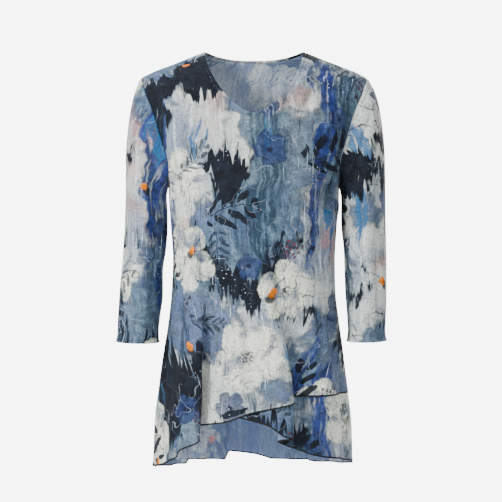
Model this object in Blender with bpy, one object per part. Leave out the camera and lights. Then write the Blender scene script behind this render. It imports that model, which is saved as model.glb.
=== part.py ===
"""A tunic top, filled out as it is worn, with nobody in it.

Metres, +Z up, +X to the wearer's left and -Y to the front. The origin lies between the two
high points of the shoulders, where the wearer's shoulders carry the cloth. Every panel is
the wall that a maker would cut and sew: a front with a slanted hem, an under front with the
opposite slant, a back, two sleeves and a neck binding.
"""

import math
from bisect import bisect_right
from collections import namedtuple

import bmesh
import bpy
from mathutils import Vector

# Cloth and seams
CLOTH = 0.0010
SEAM_GAP = 0.0003
SLEEVE_GAP = 0.00036
LAYER_GAP = 0.0007
LAYER_GAP_AT_SEAM = 0.0004
NEARLY = 1e-4

# Neck: the finished opening, and the binding that stands on the panels' raw edge
NECK_HALF = 0.093
FRONT_DROP = 0.120
BACK_DROP = 0.009
BINDING_WIDTH = 0.006
BINDING_PROUD = 0.0005
FRONT_NECK_POWERS = (1.5, 0.60)
BACK_NECK_POWER = 2.6

# Heights on the body
SHOULDER_TIP = -0.050
ARMPIT = -0.252
UNDER_FRONT_TOP = -0.430
HEM_STARTS_TO_SLANT = -0.600
LOWEST_HEM = -0.800

Section = namedtuple("Section", "height half_width front back power")
BODY = (
    Section(0.000, 0.0930, 0.056, 0.060, 1.80),
    Section(-0.008, 0.1135, 0.062, 0.066, 1.80),
    Section(-0.018, 0.1380, 0.068, 0.073, 1.82),
    Section(-0.030, 0.1695, 0.076, 0.081, 1.88),
    Section(-0.040, 0.1940, 0.081, 0.087, 1.94),
    Section(SHOULDER_TIP, 0.2128, 0.086, 0.092, 2.00),
    Section(-0.058, 0.2190, 0.089, 0.095, 2.04),
    Section(-0.078, 0.2205, 0.097, 0.102, 2.10),
    Section(-0.104, 0.2130, 0.103, 0.107, 2.16),
    Section(-0.135, 0.2020, 0.110, 0.111, 2.20),
    Section(-0.187, 0.1820, 0.118, 0.112, 2.20),
    Section(-0.220, 0.1695, 0.121, 0.111, 2.20),
    Section(ARMPIT, 0.1615, 0.123, 0.109, 2.20),
    Section(-0.286, 0.1605, 0.122, 0.106, 2.20),
    Section(-0.330, 0.1570, 0.119, 0.103, 2.20),
    Section(-0.395, 0.1532, 0.116, 0.101, 2.20),
    Section(-0.450, 0.1543, 0.116, 0.103, 2.20),
    Section(-0.504, 0.1600, 0.118, 0.108, 2.20),
    Section(-0.560, 0.1678, 0.122, 0.115, 2.20),
    Section(-0.633, 0.1775, 0.128, 0.124, 2.20),
    Section(-0.707, 0.1860, 0.134, 0.132, 2.20),
    Section(LOWEST_HEM, 0.1885, 0.140, 0.141, 2.20),
)

# The armhole seam, seen from the side: how far it lies in front of the shoulder, and behind
Armhole = namedtuple("Armhole", "height front back")
ARMHOLE = (
    Armhole(SHOULDER_TIP, 0.000, 0.000),
    Armhole(-0.0525, 0.014, 0.014),
    Armhole(-0.058, 0.025, 0.026),
    Armhole(-0.078, 0.040, 0.042),
    Armhole(-0.104, 0.049, 0.052),
    Armhole(-0.135, 0.054, 0.057),
    Armhole(-0.187, 0.054, 0.057),
    Armhole(-0.220, 0.045, 0.047),
    Armhole(-0.240, 0.027, 0.028),
    Armhole(-0.249, 0.011, 0.011),
    Armhole(ARMPIT, 0.000, 0.000),
)

# Folds hang from a soft start and are full lower down. place is the share of the way round
# the panel, from the wearer's right. turn doubles the cloth back over itself.
FOLD_TURN_LAG = 2.0
FOLD_DEPTH_LEAD = 0.7
FOLD_MIDDLE_SLOPE = 0.4
FOLDS_FADE_AT_SEAM = 0.05
Fold = namedtuple("Fold", "place start full width turn depth")
FRONT_FOLDS = (
    Fold(0.095, -0.36, -0.76, 0.024, 0.000, 0.005),
    Fold(0.240, -0.60, -0.76, 0.016, 0.010, 0.009),
    Fold(0.312, -0.30, -0.64, 0.024, 0.029, 0.017),
    Fold(0.470, -0.44, -0.72, 0.030, 0.000, 0.006),
    Fold(0.594, -0.38, -0.62, 0.024, 0.029, 0.017),
    Fold(0.830, -0.42, -0.68, 0.026, 0.004, 0.006),
)
BACK_FOLDS = (
    Fold(0.110, -0.44, -0.78, 0.024, 0.000, 0.004),
    Fold(0.262, -0.42, -0.76, 0.022, 0.008, 0.012),
    Fold(0.418, -0.36, -0.74, 0.024, 0.011, 0.015),
    Fold(0.560, -0.40, -0.76, 0.030, 0.000, 0.007),
    Fold(0.700, -0.34, -0.76, 0.024, 0.019, 0.013),
    Fold(0.855, -0.42, -0.76, 0.024, 0.004, 0.006),
)

# Cut hems: share of the way round the panel, and height
Hem = namedtuple("Hem", "place height")
FRONT_HEM = (
    Hem(0.00, -0.786),
    Hem(0.12, -0.775),
    Hem(0.216, -0.757),
    Hem(0.256, -0.737),
    Hem(0.30, -0.717),
    Hem(0.37, -0.694),
    Hem(0.43, -0.684),
    Hem(0.51, -0.665),
    Hem(0.57, -0.651),
    Hem(0.655, -0.641),
    Hem(0.80, -0.641),
    Hem(1.00, -0.643),
)
UNDER_FRONT_HEM = (
    Hem(0.00, -0.640),
    Hem(0.12, -0.645),
    Hem(0.30, -0.656),
    Hem(0.46, -0.677),
    Hem(0.52, -0.691),
    Hem(0.55, -0.713),
    Hem(0.62, -0.722),
    Hem(0.655, -0.736),
    Hem(0.695, -0.749),
    Hem(0.83, -0.761),
    Hem(1.00, -0.776),
)
BACK_HEM = (
    Hem(0.00, -0.787),
    Hem(0.12, -0.795),
    Hem(0.243, -0.800),
    Hem(0.285, -0.789),
    Hem(0.392, -0.797),
    Hem(0.446, -0.777),
    Hem(0.50, -0.784),
    Hem(0.55, -0.794),
    Hem(0.80, -0.793),
    Hem(1.00, -0.780),
)

# Sleeves
SEWN_SHARE = 0.30
CUFF_SHARE = 0.20
CUFF_SAG = 0.003

# Each sleeve's line over the shoulder and elbow, its line under the arm, and its half
# depths in front of and behind centre, which hangs a little forward at the cuff
Ring = namedtuple("Ring", "outer_x outer_z inner_x inner_z front back centre")
RIGHT_SLEEVE = (
    Ring(0.2128, SHOULDER_TIP, 0.1660, ARMPIT, 0.050, 0.054, 0.000),
    Ring(0.2215, -0.066, 0.1668, -0.260, 0.055, 0.058, 0.000),
    Ring(0.2305, -0.095, 0.1662, -0.269, 0.058, 0.061, 0.000),
    Ring(0.2380, -0.140, 0.1648, -0.283, 0.060, 0.062, -0.001),
    Ring(0.2425, -0.195, 0.1640, -0.304, 0.060, 0.061, -0.002),
    Ring(0.2430, -0.255, 0.1640, -0.335, 0.059, 0.059, -0.004),
    Ring(0.2442, -0.320, 0.1672, -0.375, 0.057, 0.057, -0.007),
    Ring(0.2485, -0.390, 0.1728, -0.415, 0.055, 0.055, -0.011),
    Ring(0.2535, -0.450, 0.1722, -0.458, 0.053, 0.053, -0.015),
    Ring(0.2570, -0.505, 0.1775, -0.502, 0.049, 0.049, -0.018),
    Ring(0.2578, -0.529, 0.1803, -0.526, 0.047, 0.047, -0.019),
    Ring(0.2602, -0.547, 0.1794, -0.546, 0.049, 0.048, -0.020),
)
LEFT_SLEEVE = (
    Ring(0.2128, SHOULDER_TIP, 0.1660, ARMPIT, 0.050, 0.054, 0.000),
    Ring(0.2240, -0.066, 0.1668, -0.260, 0.055, 0.058, 0.000),
    Ring(0.2350, -0.095, 0.1664, -0.269, 0.058, 0.061, 0.000),
    Ring(0.2430, -0.140, 0.1654, -0.283, 0.060, 0.062, -0.001),
    Ring(0.2475, -0.195, 0.1650, -0.304, 0.060, 0.061, -0.002),
    Ring(0.2485, -0.255, 0.1660, -0.335, 0.059, 0.059, -0.004),
    Ring(0.2492, -0.320, 0.1700, -0.375, 0.057, 0.057, -0.007),
    Ring(0.2502, -0.390, 0.1714, -0.415, 0.055, 0.055, -0.011),
    Ring(0.2504, -0.450, 0.1733, -0.458, 0.053, 0.053, -0.015),
    Ring(0.2488, -0.505, 0.1765, -0.502, 0.049, 0.049, -0.018),
    Ring(0.2478, -0.527, 0.1773, -0.525, 0.047, 0.047, -0.019),
    Ring(0.2504, -0.545, 0.1752, -0.544, 0.049, 0.048, -0.020),
)

# Soft troughs in the sleeves: share of the way round from the top line over the front,
# where the trough is deepest down the sleeve, its length, and its width round the sleeve
Trough = namedtuple("Trough", "place middle length width depth")
RIGHT_TROUGHS = (
    Trough(0.335, 0.34, 0.24, 0.055, 0.0085),
    Trough(0.160, 0.56, 0.20, 0.060, 0.0040),
    Trough(0.400, 0.76, 0.15, 0.070, 0.0050),
    Trough(0.680, 0.45, 0.26, 0.065, 0.0070),
    Trough(0.840, 0.66, 0.18, 0.060, 0.0050),
)
LEFT_TROUGHS = (
    Trough(0.320, 0.40, 0.27, 0.052, 0.0090),
    Trough(0.170, 0.60, 0.20, 0.060, 0.0045),
    Trough(0.410, 0.74, 0.15, 0.070, 0.0040),
    Trough(0.665, 0.42, 0.26, 0.065, 0.0075),
    Trough(0.835, 0.68, 0.18, 0.060, 0.0045),
)

# How finely the panels are divided, and how much closer the columns lie at folds
FRONT_COLUMNS = 48
BACK_COLUMNS = 40
ARMHOLE_ROWS = 11
SLEEVE_COLUMNS = 2 * ARMHOLE_ROWS
SLEEVE_ROWS = 13
SHOULDER_ROWS = 3
SIDE_ROWS = 12
CROWDING_AT_TURNED_FOLDS = 2.6
CROWDING_AT_SOFT_FOLDS = 0.5
CROWDED_WIDTH = 0.05
SPREAD_STEPS = 2000
NECK_HALVINGS = 40

CLOTH_COLOUR = (0.42, 0.50, 0.60, 1.0)
BINDING_COLOUR = (0.60, 0.62, 0.64, 1.0)


# Curves through tables

def curve_through(places, values):
    """A smooth function through the values that never overshoots them."""
    steps = [b - a for a, b in zip(places, places[1:])]
    slopes = [(b - a) / h for a, b, h in zip(values, values[1:], steps)]
    bends = [slopes[0]]
    for left, right in zip(slopes, slopes[1:]):
        bends.append(0.0 if left * right <= 0 else 2 * left * right / (left + right))
    bends.append(slopes[-1])

    def at(place):
        place = min(max(place, places[0]), places[-1])
        k = min(bisect_right(places, place), len(steps)) - 1
        h = steps[k]
        t = (place - places[k]) / h
        return (
            values[k] * (1 + 2 * t) * (1 - t) ** 2
            + values[k + 1] * t * t * (3 - 2 * t)
            + h * bends[k] * t * (1 - t) ** 2
            - h * bends[k + 1] * t * t * (1 - t)
        )

    return at


def columns_of(rows, key, places=None):
    """One smooth function for each named column of a table, read against its key."""
    rows = sorted(rows, key=lambda row: getattr(row, key)) if places is None else rows
    at = places or [getattr(row, key) for row in rows]
    names = [name for name in rows[0]._fields if places or name != key]
    return {name: curve_through(at, [getattr(row, name) for row in rows]) for name in names}


def smooth(x):
    """0 below 0, 1 above 1, and an easy rise between."""
    x = min(max(x, 0.0), 1.0)
    return x * x * (3 - 2 * x)


body = columns_of(BODY, "height")
armhole = columns_of(ARMHOLE, "height")
front_hem = columns_of(FRONT_HEM, "place")["height"]
under_front_hem = columns_of(UNDER_FRONT_HEM, "place")["height"]
back_hem = columns_of(BACK_HEM, "place")["height"]


# The body's surface

def turn_shape(q):
    """How far along the panel a fold carries its cloth, 1 at the furthest."""
    return q * math.exp(0.5 - q * q) * math.sqrt(2)


def depth_shape(q):
    """Out on one side of the fold and in on the other, about 1 at the furthest."""
    return (FOLD_MIDDLE_SLOPE * q + (1 - FOLD_MIDDLE_SLOPE) * q**3) * math.exp(1 - q * q)


class BodySide:
    """The outer surface of the front (side -1) or the back (side +1) of the body.

    A point is named by place, the share of the way round from the wearer's right, and by
    its height.
    """

    def __init__(self, side, depth, cut, folds):
        self.side = side
        self.depth = body[depth]
        self.cut = armhole[cut]
        self.folds = folds

    def angle(self, place, height):
        start = 0.0
        if ARMPIT < height < SHOULDER_TIP:
            share = self.cut(height) / self.depth(height)
            start = math.asin(share ** (body["power"](height) / 2))
        return start + place * (math.pi - 2 * start)

    def ring_point(self, place, height):
        """The point on the plain section, before folds."""
        angle = self.angle(place, height)
        power = 2 / body["power"](height)
        across, deep = math.cos(angle), max(math.sin(angle), 0.0)
        x = -body["half_width"](height) * math.copysign(abs(across) ** power, across)
        y = self.side * (self.depth(height) * deep**power + SEAM_GAP / 2)
        return Vector((x, y, height))

    def length_round(self, height):
        half, deep = body["half_width"](height), self.depth(height)
        return math.pi * math.sqrt((half * half + deep * deep) / 2)

    def ring_frame(self, place, height):
        """The ring's direction of travel and its outward direction, both level."""
        before = self.ring_point(max(place - NEARLY, 0.0), height)
        along = (self.ring_point(min(place + NEARLY, 1.0), height) - before).normalized()
        out = along.cross(Vector((0, 0, 1))) * -self.side
        return along, out

    def point(self, place, height):
        """The outer surface, with its folds."""
        spot = self.ring_point(place, height)
        along, out = self.ring_frame(place, height)
        at_edge = smooth(min(place, 1 - place) / FOLDS_FADE_AT_SEAM)
        for fold in self.folds:
            grown = smooth((fold.start - height) / (fold.start - fold.full)) * at_edge
            if grown == 0:
                continue
            q = (place - fold.place) * self.length_round(height) / fold.width
            spot = spot - along * (fold.turn * grown**FOLD_TURN_LAG * turn_shape(q))
            spot = spot - out * (fold.depth * grown**FOLD_DEPTH_LEAD * depth_shape(q))
        return spot

    def normal(self, place, height):
        """Outwards. On the side and shoulder seams it lies in the seam's own plane."""
        left, right = max(place - NEARLY, 0.0), min(place + NEARLY, 1.0)
        along = self.point(right, height) - self.point(left, height)
        down = self.point(place, height - NEARLY) - self.point(place, height + NEARLY)
        out = along.cross(down) * self.side
        on_seam = place in (0.0, 1.0) and not ARMPIT < height < SHOULDER_TIP
        if on_seam:
            out.y = 0.0
        return out.normalized()


front = BodySide(-1, "front", "front", FRONT_FOLDS)
back = BodySide(1, "back", "back", BACK_FOLDS)


# The neckline

def front_neck_half(height, margin=0.0):
    fall, swell = FRONT_NECK_POWERS
    share = min(max(-height / (FRONT_DROP + margin), 0.0), 1.0)
    return (NECK_HALF + margin) * (1 - share**fall) ** swell


def back_neck_half(height, margin=0.0):
    share = min(max(-height / (BACK_DROP + margin), 0.0), 1.0)
    return (NECK_HALF + margin) * (1 - share) ** (1 / BACK_NECK_POWER)


def neck_height(surface, half_at, drop, place, margin):
    """Where a column of the panel meets the neckline."""
    high, low = 0.0, -(drop + margin)
    for _ in range(NECK_HALVINGS):
        middle = (high + low) / 2
        if abs(surface.ring_point(place, middle).x) < half_at(middle, margin):
            high = middle
        else:
            low = middle
    return (high + low) / 2


def front_neck(place, margin=BINDING_WIDTH):
    return neck_height(front, front_neck_half, FRONT_DROP, place, margin)


def back_neck(place, margin=BINDING_WIDTH):
    """The back's neckline, brought to the front's height at the shoulder seams."""
    own = neck_height(back, back_neck_half, BACK_DROP, place, margin)
    at_seam = 1 - smooth(min(place, 1 - place) / 0.12)
    if at_seam == 0:
        return own
    seam = neck_height(back, back_neck_half, BACK_DROP, 0.0, margin)
    return own + (front_neck(0.0, margin) - seam) * at_seam


# Lines that divide the panels

def spread(count, folds):
    """Places across a panel, closer together where folds are."""
    weights = [0.0]
    for k in range(SPREAD_STEPS):
        place = (k + 0.5) / SPREAD_STEPS
        close = 1.0
        for fold in folds:
            turned = fold.turn > fold.width / 2
            crowding = CROWDING_AT_TURNED_FOLDS if turned else CROWDING_AT_SOFT_FOLDS
            close += crowding * math.exp(-(((place - fold.place) / CROWDED_WIDTH) ** 4))
        weights.append(weights[-1] + close)
    places = []
    k = 0
    for i in range(count + 1):
        goal = weights[-1] * i / count
        while k < SPREAD_STEPS - 1 and weights[k + 1] < goal:
            k += 1
        places.append((k + (goal - weights[k]) / (weights[k + 1] - weights[k])) / SPREAD_STEPS)
    places[0], places[-1] = 0.0, 1.0
    return places


def even(start, stop, count):
    return [start + (stop - start) * k / count for k in range(count + 1)]


def armhole_height(turn):
    """The height on the armhole seam, closer together where it rounds at its two ends."""
    middle, half = (SHOULDER_TIP + ARMPIT) / 2, (SHOULDER_TIP - ARMPIT) / 2
    return middle + half * math.cos(2 * math.pi * turn)


def body_levels():
    """Heights down the side of a body panel: shoulder seam, armhole, side seam."""
    top = front_neck(0.0)
    return (
        even(top, SHOULDER_TIP, SHOULDER_ROWS)[:-1]
        + [armhole_height(turn) for turn in even(0.0, 0.5, ARMHOLE_ROWS)]
        + even(ARMPIT, LOWEST_HEM, SIDE_ROWS)[1:]
    )


def height_at(level, neck, hem):
    """A column's own height at a level: from its neckline above, to its hem below."""
    top = front_neck(0.0)
    if level > ARMPIT:
        return level + (neck - top) * (level - ARMPIT) / (top - ARMPIT)
    if level > HEM_STARTS_TO_SLANT:
        return level
    share = (level - HEM_STARTS_TO_SLANT) / (LOWEST_HEM - HEM_STARTS_TO_SLANT)
    return HEM_STARTS_TO_SLANT + (hem - HEM_STARTS_TO_SLANT) * share


# Sleeves

def armhole_point(turn):
    """The body's armhole seam. turn runs 0 to 1 from the shoulder tip, down the front."""
    height = armhole_height(turn)
    if turn in (0.0, 0.5):
        return Vector((-body["half_width"](height), 0.0, height))
    return (front if turn < 0.5 else back).ring_point(0.0, height)


TIP_TO_ARMPIT_ACROSS = body["half_width"](SHOULDER_TIP) - body["half_width"](ARMPIT)
ARMHOLE_OUT = Vector((ARMPIT - SHOULDER_TIP, 0, -TIP_TO_ARMPIT_ACROSS)).normalized()


class Sleeve:
    """The outer surface of a sleeve, drawn on the wearer's right and mirrored for the left.

    turn runs once round from the top line over the front, and down from 0 at the armhole to
    1 at the cuff.
    """

    def __init__(self, rings, troughs, mirror):
        self.ring = columns_of(rings, "", even(0.0, 1.0, len(rings) - 1))
        self.troughs = troughs
        self.mirror = mirror

    def tube_point(self, turn, down):
        at = {name: read(down) for name, read in self.ring.items()}
        angle = 2 * math.pi * turn
        outer = Vector((-at["outer_x"], at["centre"], at["outer_z"]))
        inner = Vector((-at["inner_x"], at["centre"], at["inner_z"]))
        deep = at["front"] if turn <= 0.5 else at["back"]
        sag = CUFF_SAG * smooth((down - 1 + CUFF_SHARE) / CUFF_SHARE) * math.sin(math.pi * turn) ** 2
        spot = (outer + inner) / 2 + (outer - inner) / 2 * math.cos(angle)
        return spot + Vector((0, -deep * math.sin(angle), -sag))

    def plain_point(self, turn, down):
        """The tube, drawn in to the armhole's own curve where it is sewn on."""
        spot = self.tube_point(turn, down)
        sewn = 1 - smooth(down / SEWN_SHARE)
        if sewn > 0:
            shared = turn % 1.0
            spot += (armhole_point(shared) - self.tube_point(shared, 0.0)) * sewn
        return spot + ARMHOLE_OUT * SLEEVE_GAP

    def frame_normal(self, spot_at, turn, down):
        low, high = max(down - NEARLY, 0.0), min(down + NEARLY, 1.0)
        round_it = spot_at(turn + NEARLY, down) - spot_at(turn - NEARLY, down)
        along = spot_at(turn, high) - spot_at(turn, low)
        return along.cross(round_it).normalized()

    def point(self, turn, down):
        turn %= 1.0
        spot = self.plain_point(turn, down)
        sunk = 0.0
        for trough in self.troughs:
            round_it = (turn - trough.place) / trough.width
            along = (down - trough.middle) / trough.length
            sunk += trough.depth * math.exp(-round_it * round_it - along * along)
        sunk *= smooth(down / 0.06) * smooth((1 - down) / 0.08)
        return spot - self.frame_normal(self.plain_point, turn, down) * sunk

    def normal(self, turn, down):
        out = self.frame_normal(self.point, turn, down)
        if down > 0:
            return out
        return shared_normal(out, armhole_body_normal(turn))

    def place(self, turn, down, depth):
        spot = self.point(turn, down) - self.normal(turn, down) * depth
        if self.mirror:
            spot.x = -spot.x
        return spot


def armhole_body_normal(turn):
    turn %= 1.0
    height = armhole_point(turn).z
    if turn in (0.0, 0.5):
        out = front.normal(0.0, height)
        out.y = 0.0
        return out.normalized()
    return (front if turn < 0.5 else back).normal(0.0, height)


def shared_normal(own, other):
    """At a seam that bends outwards both walls end on one mitre. Elsewhere each keeps its own."""
    return (own + other * smooth((own.dot(other) + 0.1) / 0.4)).normalized()


right_sleeve = Sleeve(RIGHT_SLEEVE, RIGHT_TROUGHS, mirror=False)
left_sleeve = Sleeve(LEFT_SLEEVE, LEFT_TROUGHS, mirror=True)


def armhole_turn(height, side):
    """The sleeve's turn at a height on the armhole seam."""
    middle, half = (SHOULDER_TIP + ARMPIT) / 2, (SHOULDER_TIP - ARMPIT) / 2
    turn = math.acos(min(max((height - middle) / half, -1.0), 1.0)) / (2 * math.pi)
    return turn if side < 0 else 1 - turn


def body_wall_normal(surface, place, height):
    """The body's normal, on the sleeve's mitre along the armhole."""
    out = surface.normal(place, height)
    if place not in (0.0, 1.0) or not ARMPIT < height < SHOULDER_TIP:
        return out
    turn = armhole_turn(height, surface.side)
    sleeve = right_sleeve.frame_normal(right_sleeve.point, turn, 0.0)
    if place == 1.0:
        sleeve.x = -sleeve.x
    return shared_normal(out, sleeve)


# Solids

def slab(across, down, place_vertex, closed=False):
    """A sheet divided by the lines, with a second face a cloth's thickness behind it.

    place_vertex takes a line's value across, one down, and True for the inner face. Both
    faces are split along the same diagonals. A closed slab is joined along its two sides.
    """
    mesh = bmesh.new()
    line = mesh.verts.layers.int.new("line")
    row = mesh.verts.layers.int.new("row")
    bmesh.ops.create_grid(mesh, x_segments=len(across) - 1, y_segments=len(down) - 1, size=0.5)
    for vertex in mesh.verts:
        vertex[line] = round((vertex.co.x + 0.5) * (len(across) - 1))
        vertex[row] = round((vertex.co.y + 0.5) * (len(down) - 1))
    for vertex in mesh.verts:
        vertex.co = place_vertex(across[vertex[line]], down[vertex[row]], False)
    bmesh.ops.triangulate(mesh, faces=mesh.faces[:], quad_method="SHORT_EDGE")
    doubled = bmesh.ops.extrude_face_region(mesh, geom=mesh.faces[:], use_keep_orig=True)
    for item in doubled["geom"]:
        if isinstance(item, bmesh.types.BMVert):
            item.co = place_vertex(across[item[line]], down[item[row]], True)
    if closed:
        sides = [
            face for face in mesh.faces
            if {vertex[line] for vertex in face.verts} in ({0}, {len(across) - 1})
        ]
        bmesh.ops.delete(mesh, geom=sides, context="FACES")
        bmesh.ops.remove_doubles(mesh, verts=mesh.verts[:], dist=1e-6)
    bmesh.ops.recalc_face_normals(mesh, faces=mesh.faces[:])
    return mesh


def add_object(name, mesh, material):
    data = bpy.data.meshes.new(name)
    mesh.to_mesh(data)
    mesh.free()
    data.shade_smooth()
    data.materials.append(material)
    bpy.context.scene.collection.objects.link(bpy.data.objects.new(name, data))


def cloth_material(name, colour):
    material = bpy.data.materials.new(name)
    material.use_nodes = True
    shader = material.node_tree.nodes["Principled BSDF"]
    shader.inputs["Base Color"].default_value = colour
    shader.inputs["Roughness"].default_value = 0.85
    shader.inputs["Metallic"].default_value = 0.0
    return material


def body_panel(surface, neck, hem, places):
    """A front or back, from the shoulder seams to the hem."""

    def place_vertex(place, level, inner):
        height = height_at(level, neck(place), hem(place))
        spot = surface.point(place, height)
        if inner:
            spot -= body_wall_normal(surface, place, height) * CLOTH
        return spot

    return slab(places, body_levels(), place_vertex)


def under_front_panel(places):
    """The short layer behind the front: sewn to it at the top and into both side seams."""
    levels = [level for level in body_levels() if level < UNDER_FRONT_TOP]
    free_from = UNDER_FRONT_TOP - 0.25 * (UNDER_FRONT_TOP - LOWEST_HEM)

    def place_vertex(place, level, inner):
        height = height_at(level, 0.0, under_front_hem(place))
        loose = smooth(min(place, 1 - place) / 0.10)
        loose *= smooth((levels[0] - level) / (levels[0] - free_from))
        gap = LAYER_GAP_AT_SEAM + (LAYER_GAP - LAYER_GAP_AT_SEAM) * loose
        depth = CLOTH + gap + (CLOTH if inner else 0.0)
        return front.point(place, height) - front.normal(place, height) * depth

    return slab(places, levels, place_vertex)


def sleeve_panel(sleeve):
    def place_vertex(turn, down, inner):
        return sleeve.place(turn, down, CLOTH if inner else 0.0)

    return slab(even(0.0, 1.0, SLEEVE_COLUMNS), even(0.0, 1.0, SLEEVE_ROWS), place_vertex, True)


def neck_frame(surface, neck, place):
    """The panel's neck edge, the way on past it, and the outward normal."""
    height = neck(place)
    edge = surface.point(place, height)
    out = surface.normal(place, height)
    step = 0.002
    beside = min(place + step, 1.0), max(place - step, 0.0)
    along = surface.point(beside[0], neck(beside[0])) - surface.point(beside[1], neck(beside[1]))
    if place in (0.0, 1.0):
        along.x = 0.0
        along.z = 0.0
    past = out.cross(along) * -surface.side
    return edge, past.normalized(), out


def neck_binding(front_places, back_places):
    """A folded strip that stands on the raw edge, all the way round the neck."""
    round_it = [(front, front_neck, place) for place in front_places]
    round_it += [(back, back_neck, place) for place in back_places[-2:0:-1]]
    proud, inside = BINDING_PROUD, -(CLOTH + BINDING_PROUD)
    near, far = SEAM_GAP, BINDING_WIDTH
    profile = ((near, proud), (far - 0.001, proud), (far, proud - 0.0007),
               (far, inside + 0.0007), (far - 0.001, inside), (near, inside))
    mesh = bmesh.new()
    loops = []
    for surface, neck, place in round_it:
        edge, past, out = neck_frame(surface, neck, place)
        if place in (0.0, 1.0):
            edge.y = 0.0
        loops.append([mesh.verts.new(edge + past * w + out * h) for w, h in profile])
    for near_loop, far_loop in zip(loops, loops[1:] + loops[:1]):
        edges = [ring_edge(mesh, a, b) for ring in (near_loop, far_loop)
                 for a, b in zip(ring, ring[1:] + ring[:1])]
        bmesh.ops.bridge_loops(mesh, edges=edges)
    bmesh.ops.recalc_face_normals(mesh, faces=mesh.faces[:])
    return mesh


def ring_edge(mesh, a, b):
    return mesh.edges.get((a, b)) or mesh.edges.new((a, b))


def main():
    for thing in list(bpy.data.objects):
        bpy.data.objects.remove(thing)
    printed = cloth_material("printed_knit", CLOTH_COLOUR)
    bound = cloth_material("neck_binding_knit", BINDING_COLOUR)
    front_places = spread(FRONT_COLUMNS, FRONT_FOLDS)
    back_places = spread(BACK_COLUMNS, BACK_FOLDS)
    add_object("front", body_panel(front, front_neck, front_hem, front_places), printed)
    add_object("under_front", under_front_panel(front_places), printed)
    add_object("back", body_panel(back, back_neck, back_hem, back_places), printed)
    add_object("sleeve_right", sleeve_panel(right_sleeve), printed)
    add_object("sleeve_left", sleeve_panel(left_sleeve), printed)
    add_object("neck_binding", neck_binding(front_places, back_places), bound)


main()
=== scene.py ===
import math

import bmesh
import bpy
import numpy as np
from mathutils import Matrix, Vector


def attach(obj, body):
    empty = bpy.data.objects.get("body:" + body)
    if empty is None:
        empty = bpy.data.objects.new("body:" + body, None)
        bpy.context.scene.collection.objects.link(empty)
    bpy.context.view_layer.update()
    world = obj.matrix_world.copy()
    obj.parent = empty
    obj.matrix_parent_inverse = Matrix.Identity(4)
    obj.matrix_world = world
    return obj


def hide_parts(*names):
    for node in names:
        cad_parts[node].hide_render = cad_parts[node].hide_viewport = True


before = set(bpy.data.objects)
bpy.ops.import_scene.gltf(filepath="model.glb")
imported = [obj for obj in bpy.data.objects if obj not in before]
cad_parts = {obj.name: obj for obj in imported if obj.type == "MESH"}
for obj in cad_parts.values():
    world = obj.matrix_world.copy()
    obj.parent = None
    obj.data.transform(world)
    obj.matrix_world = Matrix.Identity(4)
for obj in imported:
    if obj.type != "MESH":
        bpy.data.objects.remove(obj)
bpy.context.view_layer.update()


# Studio
# The camera stands where the photograph's did, 3 m off at chest height and tipped down a
# little. A pale floor lies where the wearer would stand, and the light is soft and wide.

CAMERA_AT = Vector((-0.0057, -3.0, -0.300))
CAMERA_AIM = Vector((-0.0057, 0.0, -0.377))
FLOOR_HEIGHT = -1.40

scene = bpy.context.scene
camera = bpy.data.objects.new("camera", bpy.data.cameras.new("camera"))
scene.collection.objects.link(camera)
camera.location = CAMERA_AT
camera.rotation_euler = (CAMERA_AIM - CAMERA_AT).to_track_quat("-Z", "Y").to_euler()
camera.data.lens = 113.2
camera.data.sensor_width = 36
scene.camera = camera


def paint(red, green, blue):
    """The pigment that looks like this, from 0 to 255, under the studio's light."""
    shares = (channel / 255 for channel in (red, green, blue))
    return tuple(0.0973 * (share / (1 - share)) ** 1.235 for share in shares) + (1,)


mesh = bmesh.new()
bmesh.ops.create_circle(mesh, cap_ends=True, segments=96, radius=1.9)
bmesh.ops.translate(mesh, verts=mesh.verts[:], vec=(0, 0, FLOOR_HEIGHT))
floor_data = bpy.data.meshes.new("floor")
mesh.to_mesh(floor_data)
mesh.free()
floor = bpy.data.objects.new("floor", floor_data)
scene.collection.objects.link(floor)
floor_finish = bpy.data.materials.new("pale_floor")
floor_finish.use_nodes = True
floor_finish.node_tree.nodes["Principled BSDF"].inputs["Base Color"].default_value = (0.88, 0.88, 0.88, 1)
floor_finish.node_tree.nodes["Principled BSDF"].inputs["Roughness"].default_value = 0.9
floor_data.materials.append(floor_finish)

world = bpy.data.worlds.new("studio")
scene.world = world
world.use_nodes = True
sky = world.node_tree
sky.nodes["Background"].inputs["Color"].default_value = (0.98, 0.99, 1.0, 1)
sky.nodes["Background"].inputs["Strength"].default_value = 0.62
backdrop = sky.nodes.new("ShaderNodeBackground")
backdrop.inputs["Strength"].default_value = 9.0
seen = sky.nodes.new("ShaderNodeLightPath")
chosen = sky.nodes.new("ShaderNodeMixShader")
sky.links.new(seen.outputs["Is Camera Ray"], chosen.inputs[0])
sky.links.new(sky.nodes["Background"].outputs[0], chosen.inputs[1])
sky.links.new(backdrop.outputs[0], chosen.inputs[2])
sky.links.new(chosen.outputs[0], sky.nodes["World Output"].inputs["Surface"])

for name, at, size, watts in (
    ("key", (-2.2, -2.1, 1.1), 0.9, 182),
    ("front", (0.6, -3.3, 0.5), 1.8, 44),
    ("top", (0.3, 0.3, 1.9), 1.2, 29),
    ("behind", (1.7, 2.7, 0.95), 1.2, 124),
):
    lamp = bpy.data.lights.new(name, "AREA")
    lamp.energy = watts
    lamp.size = size
    stand = bpy.data.objects.new(name, lamp)
    stand.location = at
    stand.rotation_euler = (Vector((0, 0, -0.35)) - Vector(at)).to_track_quat("-Z", "Y").to_euler()
    scene.collection.objects.link(stand)


# Front
# One panel of light crinkled knit from the shoulder seams to a hem that rises to the wearer's
# left. It is cut flat, so it falls into folds below the bust, and two of them double over.

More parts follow.
